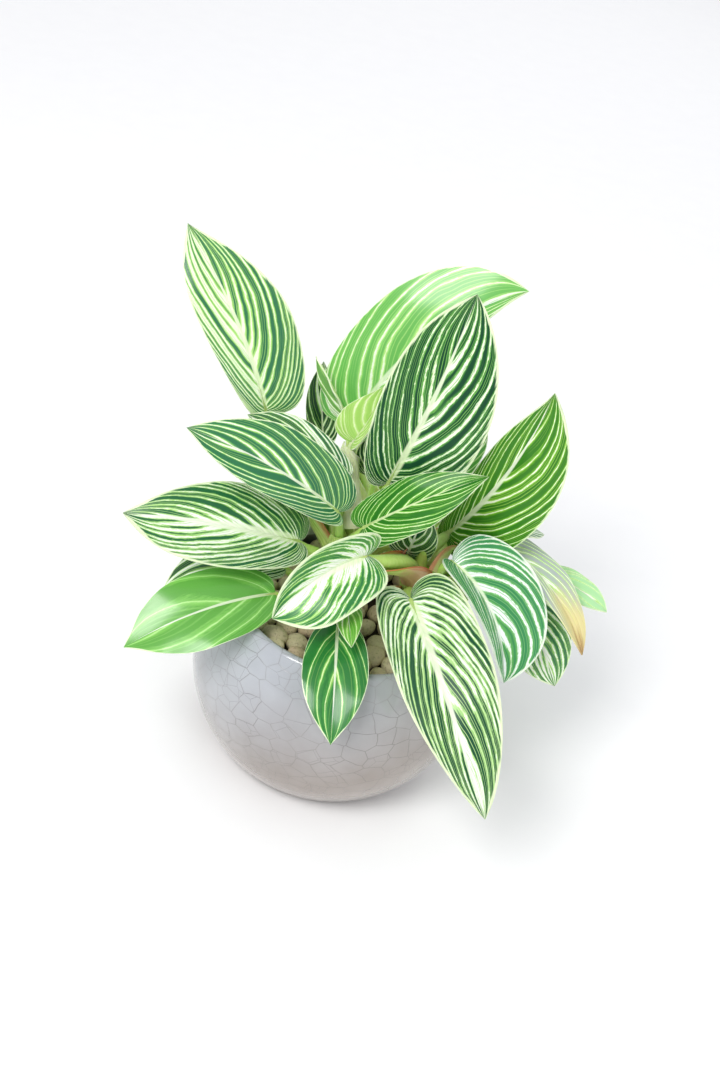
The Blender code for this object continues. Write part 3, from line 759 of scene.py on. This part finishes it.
def make_blade(blade, name):
    """A grid laid along the veins, closed to a point at both ends and thickened."""
    bpy.ops.object.select_all(action="DESELECT")
    bpy.ops.mesh.primitive_grid_add(
        x_subdivisions=BLADE_ROWS, y_subdivisions=BLADE_COLUMNS, size=1
    )
    piece = bpy.context.object
    piece.name = name
    mesh = piece.data
    mesh.uv_layers[0].name = "Veins"
    places = np.array([vertex.co[:2] for vertex in mesh.vertices])
    points = blade.surface(places[:, 0] + 0.5, 2 * places[:, 1]) * MM
    mesh.vertices.foreach_set("co", points.ravel())
    bpy.ops.object.mode_set(mode="EDIT")
    bpy.ops.mesh.select_all(action="SELECT")
    bpy.ops.mesh.remove_doubles(threshold=BLADE_WELD)
    bpy.ops.mesh.flip_normals()
    bpy.ops.object.mode_set(mode="OBJECT")
    faces = len(mesh.polygons)
    solidify = piece.modifiers.new("Thickness", "SOLIDIFY")
    solidify.thickness = BLADE_THICKNESS * MM
    solidify.offset = 0.0
    bpy.ops.object.modifier_apply(modifier="Thickness")
    under = mesh.attributes.new("underside", "FLOAT", "FACE")
    for index in range(faces, 2 * faces):
        under.data[index].value = 1.0
    bpy.ops.object.shade_smooth_by_angle(angle=math.radians(50))
    return piece


def make_stalk(blade):
    """A tapered tube along the stalk's path, made a mesh."""
    points, radii = blade.stalk_path()
    curve = bpy.data.curves.new("stalk", "CURVE")
    curve.dimensions = "3D"
    curve.bevel_depth = MM
    curve.bevel_resolution = 3
    curve.use_fill_caps = True
    spline = curve.splines.new("POLY")
    spline.points.add(len(points) - 1)
    for target, point, radius in zip(spline.points, points, radii):
        target.co = (*(point * MM), 1.0)
        target.radius = radius
    tube = bpy.data.objects.new("stalk", curve)
    bpy.context.scene.collection.objects.link(tube)
    bpy.ops.object.select_all(action="DESELECT")
    tube.select_set(True)
    bpy.context.view_layer.objects.active = tube
    bpy.ops.object.convert(target="MESH")
    bpy.ops.object.shade_smooth()
    return bpy.context.object


def sheath_finish(name, colour, edge_colour, tan):
    """Ribbed lengthways, tan and pink at the foot, with dry reddish edges."""
    finish = Finish(
        name,
        {"Specular IOR Level": 0.4, "Subsurface Weight": 0.3, "Subsurface Scale": 0.005,
         "Subsurface Radius": LEAF_GLOW},
    )
    along, around = finish.veins()
    outward = abs(around * 2.0 - 1.0)
    ribs = finish.noise(finish.spot(along * 2.0, around * 24.0, 1.0), 1.0, 3.0)
    blot = finish.noise(finish.surface(), 220.0, 3.0)
    paint = finish.blend(finish.step(ribs, 0.3, 0.7) * 0.6, colour, tint(222, 240, 158))
    foot = 1 - finish.step(along + blot * 0.5, 0.2 + tan * 0.35, 0.75 + tan * 0.35)
    paint = finish.blend(foot * tan, paint, tint(232, 178, 140))
    paint = finish.blend(finish.step(outward + ribs * 0.25, 0.98, 1.1) * 0.85, paint, edge_colour)
    return finish.paint(paint, 0.42, ribs, 0.0003)


def make_sheath(blade):
    """The clasping foot of a stalk: a channel round it, open above unless it is turned.
    UPRIGHT_SIDE gives a stalk that stands upright a side to open on."""
    leaf = blade.leaf
    radii = leaf.sheath_radii
    points, _ = blade.stalk_path()
    free = points[:STALK_POINTS]
    tangents = unit(np.gradient(free, axis=0))
    upward = np.array([0, 0, 1.0]) - tangents[:, 2:3] * tangents
    upward = unit(upward + UPRIGHT_SIDE)
    side = np.cross(tangents, upward)
    bpy.ops.object.select_all(action="DESELECT")
    bpy.ops.mesh.primitive_grid_add(
        x_subdivisions=SHEATH_ROWS, y_subdivisions=SHEATH_COLUMNS, size=1
    )
    piece = bpy.context.object
    piece.name = "sheath"
    piece.data.uv_layers[0].name = "Veins"
    places = np.array([vertex.co[:2] for vertex in piece.data.vertices])
    share, w = places[:, 0] + 0.5, 2 * places[:, 1]
    marks = np.linspace(0, 1, STALK_POINTS)
    centre, above, beside = [
        np.stack([np.interp(share * leaf.sheath_reach, marks, values[:, k]) for k in range(3)], -1)
        for values in (free, upward, side)
    ]
    radius = radii[0] + (radii[1] - radii[0]) * share**SHEATH_TAPER
    wave = SHEATH_WAVE * np.sin(9 * w + 7 * share)
    radius = radius * (1 + SHEATH_FLARE * w**2 * (1 - share) + wave)
    spread = leaf.sheath_spread * (1 - SHEATH_NARROWING * share**2)
    turn = np.radians(spread * w + leaf.sheath_turn)
    down, out = (radius * np.cos(turn))[:, None], (radius * np.sin(turn))[:, None]
    points = centre - above * down + beside * out
    piece.data.vertices.foreach_set("co", (points * MM).ravel())
    solidify = piece.modifiers.new("Thickness", "SOLIDIFY")
    solidify.thickness = SHEATH_THICKNESS * MM
    solidify.offset = 0.0
    bpy.ops.object.modifier_apply(modifier="Thickness")
    bpy.ops.object.shade_smooth_by_angle(angle=math.radians(50))
    return piece


PALE_LEAVES = (
    "leaf_left_inner", "leaf_left_middle", "leaf_front_pale", "leaf_front_long",
    "leaf_back_sliver", "leaf_new", "leaf_rear_right",
)
DARK_LEAVES = (
    "leaf_left_upper", "leaf_left_low_dark", "leaf_front_hanging", "leaf_tall_middle",
    "leaf_back_small", "leaf_inner_dark", "leaf_inner_small", "leaf_right_low",
    "leaf_rear_left", "leaf_rear_upper_left", "leaf_rear_low_right",
)
SLOTS = {**dict.fromkeys(PALE_LEAVES, "leaf_pale"), **dict.fromkeys(DARK_LEAVES, "leaf_dark")}
leaf_numbers = itertools.count()


def make_leaves(leaves):
    """Models each leaf with its stalk, and lets it stand for the solid leaf of that name."""
    for leaf in leaves:
        index = next(leaf_numbers)
        kind = leaf.name.removeprefix("leaf_")
        blade = Blade(leaf, index)
        stalk = make_stalk(blade)
        piece = make_blade(blade, f"foliage_{kind}")
        piece.data.materials.append(blade_finish(f"Blade {kind}", leaf.look, index))
        stalk.data.materials.append(stalk_finish(f"Stalk {kind}", leaf.skin))
        sheath = make_sheath(blade)
        cover = sheath_finish(f"Sheath {kind}", leaf.skin, leaf.sheath_edge, leaf.sheath_tan)
        sheath.data.materials.append(cover)
        bpy.ops.object.select_all(action="DESELECT")
        stalk.select_set(True)
        sheath.select_set(True)
        piece.select_set(True)
        bpy.context.view_layer.objects.active = piece
        bpy.ops.object.join()
        finished(piece, leaf.name)


# The left leaves: a tall one with a broad right side, a long striped one that reaches furthest
# out, a smooth green one that hangs beside the bowl, and darker ones above and behind it.
make_leaves([
    Leaf("leaf_tall_left", "stem_left", 75, (-41, 12, 120), (-78, 32, 168), (6, -5, 4),
         (0.32, -0.72, 0.62), Half(11.2, 0.55, 0.2, 0.55), Half(17.3, 0.38, 0.4, 0.22),
         Look(tint(104, 170, 84), tint(46, 112, 72), 13, 0.1, left=0.14, wander=0.26, fringe=0.2,
              ragged=0.16, rim=0.05, tip=0.14, cream=tint(234, 248, 214), halo=tint(176, 222, 122),
              hairlines=0.8),
         lobe=0.03, tip_facing=(-0.12, -0.76, 0.64), skin=tint(132, 182, 62), sheath_reach=0.75,
         sheath_radii=(5.4, 3.6), sheath_edge=tint(186, 88, 62)),
    Leaf("leaf_left_inner", "stem_left", 80.5, (-13, 4, 106), (-46, 6, 121), (1, -1, 4),
         (0, -0.75, 0.66), Half(8.5, 0.45, 0.5), Half(8.5, 0.45, 0.5),
         Look(tint(90, 150, 90), tint(40, 96, 60), 9, 0.2)),
    Leaf("leaf_left_upper", "stem_left", 74.5, (-11, -4, 100), (-62, -10, 121), (2, -4, 8),
         (-0.08, -0.58, 0.81), Half(9.3, 0.5, 0.25, 0.5), Half(14.7, 0.38, 0.4, 0.38),
         Look(tint(84, 156, 88), tint(42, 112, 70), 10, 0.06, vary=0.02, wander=0.12, fan=0.05,
              rib=0.05, rim=0.03, hairlines=0.5, tip=0.08, gloss=0.6),
         lobe=0.07, lean=50),
    Leaf("leaf_left_middle", "stem_left", 69.5, (-21, -6, 86), (-76, -22, 92), (3, -5, 7),
         (-0.08, -0.58, 0.81), Half(14.2, 0.48, 0.25, 0.6), Half(15, 0.38, 0.42, 0.33),
         Look(tint(104, 168, 76), tint(36, 98, 58), 15, 0.05, left=0.02, vary=0.2, wander=0.75,
              breaks=3.4, fan=0.3, fan_reach=0.36, rib=0.13, rim=0.06, ragged=0.36, fringe=0.2,
              tip=0.2, halo=tint(178, 222, 134), hairlines=0.8),
         lobe=0.06, stalk=(1.8, 1.9, 1.9, 1.2)),
    Leaf("leaf_left_low_green", "stem_left", 63.5, (-24, -18, 72), (-66, -43, 56), (0, -1, 9),
         (-0.16, -0.62, 0.77), Half(13, 0.48, 0.25, 0.38), Half(13, 0.48, 0.25, 0.38),
         Look(tint(122, 190, 84), tint(94, 164, 64), 3.4, 0.015, vary=0.0, wander=0.0, fan=0.01,
              rib=0.045, rim=0.012, ragged=0.02, fringe=0.05, thin=tint(176, 224, 138),
              halo=tint(146, 208, 108), hairlines=0.3, gloss=0.9),
         lobe=0, lean=15),
    Leaf("leaf_left_low_dark", "stem_left", 67.5, (-23, -5, 73), (-62, -10, 53), (0, 0, 13),
         (-0.11, -0.47, 0.88), Half(6.5, 0.38, 0.3), Half(12, 0.38, 0.3),
         Look(tint(72, 124, 78), tint(28, 74, 48), 8, 0.16, vary=0.1, fan=0.05, rib=0.05),
         lobe=0, lean=25),
])


# The front leaves: a whitish heart with one side rolled up, a small green point under it, a
# dark glossy leaf that hangs over the lip, and a long cream one that reaches below it.
make_leaves([
    Leaf("leaf_front_pale", "stem_right", 77, (1, -20, 97), (-22, -40, 80), (-1, -1, 8),
         (0.05, -0.66, 0.75), Half(15, 0.45, 0.5, 0.8), Half(10.8, 0.42, 0.5, 0.42, 60, -10),
         Look(tint(100, 176, 80), tint(48, 122, 62), 12, 0.04, left=0.05, right=0.08, vary=0.2,
              wander=0.8, breaks=3.2, fan=0.5, fan_reach=0.62, rib=0.14, rim=0.1, ragged=0.34,
              fringe=0.14, tip=0.1, hairlines=0.7),
         lobe=0.14, stalk=(1.9, 2.7, 2.4, 1.4), skin=tint(176, 212, 92), sheath_reach=0.8,
         sheath_radii=(5.6, 3.6), sheath_tan=0.9, sheath_edge=tint(206, 84, 62)),
    Leaf("leaf_front_bud", "stem_left", 69, (-1, -24, 81), (4, -42, 78), (0, -2, 2),
         (0.1, -0.79, 0.6), Half(4.5, 0.35), Half(4.5, 0.35),
         Look(tint(134, 196, 84), tint(98, 166, 60), 4, 0.05, vary=0.0, wander=0.05, fan=0.0,
              rim=0.03)),
    Leaf("leaf_front_hanging", "stem_left", 64, (-2, -26, 73), (5, -60, 53), (0, -5, 6),
         (0, -0.81, 0.59), Half(10.5, 0.45, 0.25, 0.35), Half(10.5, 0.45, 0.25, 0.35),
         Look(tint(68, 148, 62), tint(40, 118, 50), 4.4, 0.012, vary=0.0, wander=0.0, fan=0.01,
              rib=0.06, rim=0.03, ragged=0.03, fringe=0.06, hairlines=0.2, gloss=0.6),
         lobe=0),
    Leaf("leaf_front_long", "stem_right", 66, (19, -21, 85), (56, -71, 49), (-1, -9, 11),
         (0.07, -0.73, 0.68), Half(17.5, 0.33, 0.5, 0.5), Half(13.2, 0.33, 0.5, 0.38),
         Look(tint(108, 170, 82), tint(26, 78, 50), 15, 0.06, left=0.02, vary=0.24, wander=1.05,
              breaks=3.8, fan=0.2, fan_reach=0.32, rib=0.1, rim=0.07, ragged=0.42, fringe=0.24,
              tip=0.12, halo=tint(184, 224, 146), hairlines=0.9, gloss=0.2),
         lobe=0.1, stalk=(1.9, 2.3, 2.2, 1.4), skin=tint(162, 212, 84), sheath_tan=0.5,
         sheath_edge=tint(196, 96, 62)),
])


# The right-hand leaves: one folded along its midrib over the bowl's side, and one that stands
# up behind it, in bright olive green.
make_leaves([
    Leaf("leaf_right_front", "stem_right", 66, (30, -1, 89), (56, -17, 58), (7, -2, 10),
         (0.17, -0.71, 0.69), Half(19.2, 0.38, 0.3, 0.7), Half(12.5, 0.38, 0.3, 0.5, 60, -10),
         Look(tint(100, 174, 92), tint(50, 136, 78), 11, 0.05, left=0.06, vary=0.12, wander=0.34,
              breaks=2.6, fan=0.2, fan_reach=0.4, rim=0.06, ragged=0.26, fringe=0.07,
              cream=tint(244, 252, 246), halo=tint(124, 190, 116), edge=tint(240, 250, 232),
              hairlines=0.8, gloss=0.6),
         lobe=0.06, lean=35, sheath_tan=0.6, sheath_edge=tint(206, 92, 66)),
    Leaf("leaf_right_upper", "stem_right", 82, (27, 17, 88), (46, 12, 152), (6, -5, 0),
         (-0.1, -0.82, 0.57), Half(9, 0.5, 0.15, 0.3), Half(19.1, 0.42, 0.35, 0.55),
         Look(tint(100, 168, 38), tint(54, 122, 26), 13, 0.035, vary=0.02, wander=0.12, fan=0.06,
              rim=0.04, halo=tint(164, 212, 88), cream=tint(246, 252, 232),
              thin=tint(236, 248, 212), hairlines=0.7, gloss=0.32),
         lobe=0.06, stalk=(1.9, 2.1, 2.1, 1.3), skin=tint(190, 216, 124), sheath_reach=1.0,
         sheath_radii=(6.2, 5.0), sheath_spread=135, sheath_tan=0.3,
         sheath_edge=tint(206, 120, 100)),
])


# The leaves over the middle: a bright green one, the tallest and darkest one with broad cream
# lines, a light green one that arches behind it, and the small ones between their stalks.
make_leaves([
    Leaf("leaf_middle_green", "stem_left", 80, (-1, -6, 98), (33, 0, 124), (0, -3, 5),
         (0, -0.59, 0.8), Half(9, 0.38, 0.45, 0.3), Half(9.5, 0.38, 0.45, 0.3),
         Look(tint(72, 152, 26), tint(34, 112, 18), 11, 0.04, vary=0.0, wander=0.1, fan=0.03,
              rib=0.05, rim=0.02, cream=tint(226, 246, 186), halo=tint(136, 200, 84),
              hairlines=0.8, gloss=0.28),
         lobe=0.08),
    Leaf("leaf_tall_middle", "stem_back", 79, (3, 8, 108), (15, 18, 175), (3, -7, 4),
         (0.12, -0.84, 0.52), Half(15.8, 0.48, 0.25, 0.65), Half(20.6, 0.36, 0.3, 0.55),
         Look(tint(72, 138, 62), tint(20, 70, 42), 13, 0.07, right=0.05, vary=0.1, wander=0.5,
              breaks=3.0, fan=0.05, rim=0.06, ragged=0.28, fringe=0.1, tip=0.06,
              cream=tint(238, 248, 222), halo=tint(118, 180, 88), hairlines=1.0, gloss=0.2)),
    Leaf("leaf_tall_back", "stem_back", 76, (-13, 30, 112.5), (32, 46, 167), (-11, -1, 12),
         (-0.21, -0.76, 0.61), Half(20.4, 0.44, 0.42, 0.7), Half(17, 0.38, 0.35, 0.2, 45),
         Look(tint(136, 204, 108), tint(104, 180, 84), 9, 0.07, vary=0.0, wander=0.08, fan=0.06,
              rim=0.02, halo=tint(186, 230, 132), cream=tint(246, 252, 244), hairlines=0.5,
              gloss=0.7),
         lobe=0.04, stalk=(1.7, 1.9, 2.0, 1.3), skin=tint(196, 230, 128), sheath_reach=0.85,
         sheath_radii=(5.0, 3.2), sheath_spread=130, sheath_turn=180,
         sheath_edge=tint(222, 240, 172)),
    Leaf("leaf_back_small", "stem_back", 70.5, (-22, 34, 101), (-28, 44, 125), (-1, -3, 2),
         (0, -0.81, 0.59), Half(5.5, 0.42, 0.5), Half(5.5, 0.42, 0.5),
         Look(tint(70, 118, 76), tint(28, 68, 42), 5, 0.1, vary=0.0, wander=0.1, fan=0.02)),
    Leaf("leaf_back_sliver", "stem_back", 84, (-16, 26, 116.5), (-30, 30, 134), (-1, 0, 2),
         (-0.76, -0.5, 0.42), Half(3.4, 0.42, 0.3, 0.42, 45), Half(3, 0.42, 0.3, 0.42, 45),
         Look(tint(150, 194, 112), tint(110, 164, 84), 4, 0.24, rib=0.1),
         skin=tint(214, 236, 160), sheath_edge=tint(222, 240, 180)),
    Leaf("leaf_new", "stem_left", 88, (-11, 14, 116), (-6, 20, 135), (2, -2, 0),
         (-0.17, -0.87, 0.46), Half(9.4, 0.28, 0.5, 0.3, 10), Half(4.4, 0.3, 0.5, 0.3, 65),
         Look(tint(184, 220, 122), tint(160, 206, 98), 6, 0.06, vary=0.0, fan=0.04,
              cream=tint(230, 244, 190), halo=tint(200, 228, 150)),
         lobe=0.1, stalk=(1.7, 2.5, 2.8, 1.6), skin=tint(232, 244, 198), sheath_reach=0.92,
         sheath_radii=(4.8, 3.1), sheath_spread=130, sheath_turn=180,
         sheath_edge=tint(236, 246, 212), sheath_tan=0.1),
    Leaf("leaf_inner_dark", "stem_back", 67, (-2, 15, 104), (-2, 15, 124), (0, -5, 4),
         (-0.19, -0.82, 0.54), Half(7.5, 0.4, 0.5), Half(7.5, 0.4, 0.5),
         Look(tint(48, 100, 56), tint(22, 66, 38), 7, 0.08)),
    Leaf("leaf_inner_small", "stem_right", 72, (15, 5, 84), (17, 5, 103), (0, -4, 3),
         (0, -0.81, 0.59), Half(8, 0.4, 0.5), Half(8, 0.4, 0.5),
         Look(tint(54, 116, 58), tint(26, 78, 42), 8, 0.08)),
])


# The low leaves on the right: an old one that has yellowed and dried at its tip, a small light
# green one beyond it, and a dark one with a pale patch below them.
make_leaves([
    Leaf("leaf_right_yellowing", "stem_right", 74, (45, 16, 89), (80, -4, 67), (4, 2, 9),
         (0.39, -0.4, 0.83), Half(7.5, 0.42, 0.4, 0.5, 30), Half(7.5, 0.42, 0.4, 0.5, 30),
         Look(tint(200, 208, 188), tint(172, 182, 180), 8, 0.05, vary=0.1, fringe=0.2, gloss=0.2,
              age=0.9),
         lobe=0.04, lean=12),
    Leaf("leaf_right_small", "stem_right", 70, (64, 26, 75), (86, 12, 75), (0, -1, 4),
         (0.09, -0.5, 0.86), Half(5.5, 0.42, 0.4, 0.6), Half(5.5, 0.42, 0.4, 0.6),
         Look(tint(200, 238, 188), tint(176, 224, 168), 5, 0.04, vary=0.0, wander=0.1, gloss=0.2),
         lobe=0.04, lean=12),
    Leaf("leaf_right_low", "stem_right", 64, (51, 14, 72), (75, -4, 51), (2, -2, 7),
         (0.23, -0.61, 0.76), Half(12, 0.5, 0.4, 0.5), Half(12, 0.5, 0.4, 0.5),
         Look(tint(96, 156, 98), tint(54, 112, 70), 10, 0.08, left=0.1, vary=0.3, wander=0.5,
              breaks=3.0, ragged=0.3, hairlines=0.8),
         lobe=0.04, lean=25),
])


# The rear leaves: they fill the far side of the bowl as the others fill the near one, low ones
# that bend over the lip and two young ones above them.
make_leaves([
    Leaf("leaf_rear_left", "stem_back", 67, (-22, 30, 74), (-50, 54, 52), (0, 0, 8),
         (-0.29, 0.1, 0.95), Half(13), Half(13),
         Look(tint(60, 124, 70), tint(30, 88, 50), 10, 0.1)),
    Leaf("leaf_rear_middle", "stem_back", 70, (6, 46, 84), (4, 94, 72), (0, 0, 12),
         (0, 0.29, 0.96), Half(14), Half(14),
         Look(tint(92, 160, 70), tint(56, 128, 54), 12, 0.1, left=0.06)),
    Leaf("leaf_rear_right", "stem_back", 70, (36, 32, 82), (62, 62, 66), (0, 0, 10),
         (0.19, 0.19, 0.96), Half(13), Half(13),
         Look(tint(84, 156, 76), tint(46, 116, 62), 13, 0.2, fan=0.26, rib=0.1)),
    Leaf("leaf_rear_upper_left", "stem_back", 82, (4, 40, 98), (-4, 66, 114), (0, 3, 4),
         (0, 0.6, 0.8), Half(9), Half(9),
         Look(tint(58, 116, 64), tint(28, 80, 46), 8, 0.12), lean=35),
    Leaf("leaf_rear_upper_right", "stem_back", 74.5, (19, 37, 94), (32, 62, 106), (0, 2, 5),
         (0.2, 0.5, 0.84), Half(10), Half(10),
         Look(tint(110, 180, 82), tint(78, 154, 62), 8, 0.09)),
    Leaf("leaf_rear_low_right", "stem_back", 65, (24, 40, 76), (40, 82, 50), (0, 0, 12),
         (0.19, 0.28, 0.94), Half(13), Half(13),
         Look(tint(58, 122, 68), tint(30, 86, 48), 11, 0.13)),
    Leaf("leaf_rear_low_left", "stem_back", 64, (-8, 44, 76), (-18, 86, 50), (0, 0, 12),
         (-0.1, 0.29, 0.95), Half(13), Half(13),
         Look(tint(88, 166, 66), tint(56, 132, 50), 9, 0.06, vary=0.04)),
])
